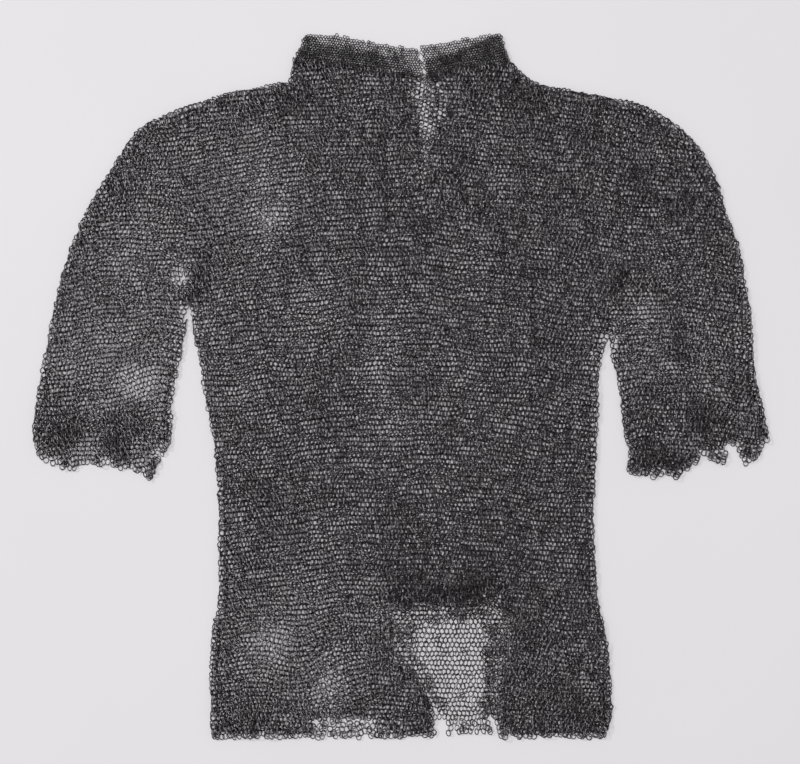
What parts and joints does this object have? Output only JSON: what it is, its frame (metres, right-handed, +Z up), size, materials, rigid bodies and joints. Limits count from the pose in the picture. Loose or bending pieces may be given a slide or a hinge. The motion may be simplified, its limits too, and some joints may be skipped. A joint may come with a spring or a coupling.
{
  "type": "chainmail hauberk",
  "caption": "Short-sleeved mail shirt of linked iron rings, laid flat face up, with a standing collar, a neck slit, ragged cuffs and a torn vent in the front of its skirt.",
  "frame": {"origin": "middle of the underside, on the surface that the hauberk lies on", "axes": "+Z up out of the chest, +Y towards the neck, +X towards the wearer's left arm"},
  "size_m": [0.9034, 0.8684, 0.011],
  "materials": {
    "iron_rings": "dull, darkened with age and worn bright on the crowns of the rings",
    "collar_rings": "dull, darker, of smaller and closer rings"
  },
  "bodies": {
    "root": {"body_back": "iron_rings", "body_front": "iron_rings", "sleeve_right": "iron_rings", "sleeve_left": "iron_rings", "collar": "collar_rings"}
  },
  "joints": []
}
